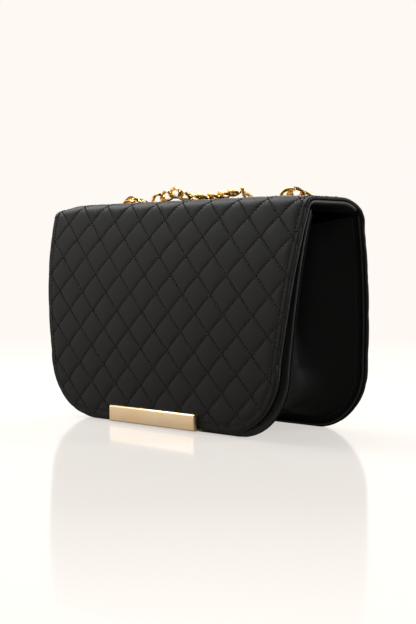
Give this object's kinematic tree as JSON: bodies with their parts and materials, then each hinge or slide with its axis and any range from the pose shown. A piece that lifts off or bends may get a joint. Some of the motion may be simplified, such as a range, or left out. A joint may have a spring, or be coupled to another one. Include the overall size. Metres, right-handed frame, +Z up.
{
  "type": "crossbody purse",
  "caption": "Quilted flap purse with folded side gussets, a gold bar on the flap edge and a chain strap through eyelets.",
  "frame": {"origin": "on the ground, under the middle of the bag's body without its chain", "axes": "+X to the right across the bag, -Y out of the flap's face, +Z up"},
  "size_m": [0.26, 0.1815, 0.1712],
  "materials": {
    "quilted_leather": "satin",
    "leather": "satin",
    "lining": "matte",
    "board": "matte",
    "pale_gold": "polished",
    "gold": "polished",
    "steel": "polished"
  },
  "bodies": {
    "bag": {"front_panel": "leather", "back_panel": "quilted_leather", "front_board": "board", "front_lining": "lining", "back_board": "board", "back_lining": "lining", "gusset_right": "leather", "lining_right": "lining", "gusset_left": "leather", "lining_left": "lining", "gusset_base": "leather", "lining_base": "lining", "base_board": "board", "snap_socket": "gold", "pocket_bag": "lining", "zip_tape_upper": "lining", "zip_tape_lower": "lining", "zip_stop_left": "gold", "zip_stop_right": "gold", "chain_drop_right": "gold", "chain_drop_left": "gold", "chain_hank": "gold"},
    "flap_top": {"flap_top_shell": "quilted_leather", "flap_top_lining": "leather", "eyelet_1": "gold", "eyelet_washer_1": "gold", "eyelet_2": "gold", "eyelet_washer_2": "gold", "eyelet_3": "gold", "eyelet_washer_3": "gold", "eyelet_4": "gold", "eyelet_washer_4": "gold", "chain_crossing": "gold", "chain_rise_right": "gold", "chain_rise_left": "gold"},
    "flap_front": {"flap_front_shell": "quilted_leather", "flap_front_lining": "leather", "flap_bar": "pale_gold", "flap_bar_plate": "pale_gold", "flap_bar_screw_left": "steel", "flap_bar_screw_right": "steel", "snap_stud": "gold"},
    "slider": {"zip_slider": "gold"},
    "pull": {"zip_pull": "gold"}
  },
  "joints": [
    {"name": "flap_lift", "type": "hinge", "parent": "bag", "child": "flap_top", "pos_m": [0, 0.03025, 0.1479], "axis": [-1, 0, 0], "range_deg": [0, 115], "deforming": ["chain_drop_right", "chain_drop_left"]},
    {"name": "flap_fold", "type": "hinge", "parent": "flap_top", "child": "flap_front", "pos_m": [0, -0.02765, 0.15663], "axis": [-1, 0, 0], "range_deg": [0, 75]},
    {"name": "zip_travel", "type": "slide", "parent": "bag", "child": "slider", "axis": [1, 0, 0], "range_m": [0, 0.13]},
    {"name": "pull_swing", "type": "hinge", "parent": "slider", "child": "pull", "pos_m": [-0.065, 0.0283, 0.1133], "axis": [-1, 0, 0], "range_deg": [0, 90]}
  ]
}
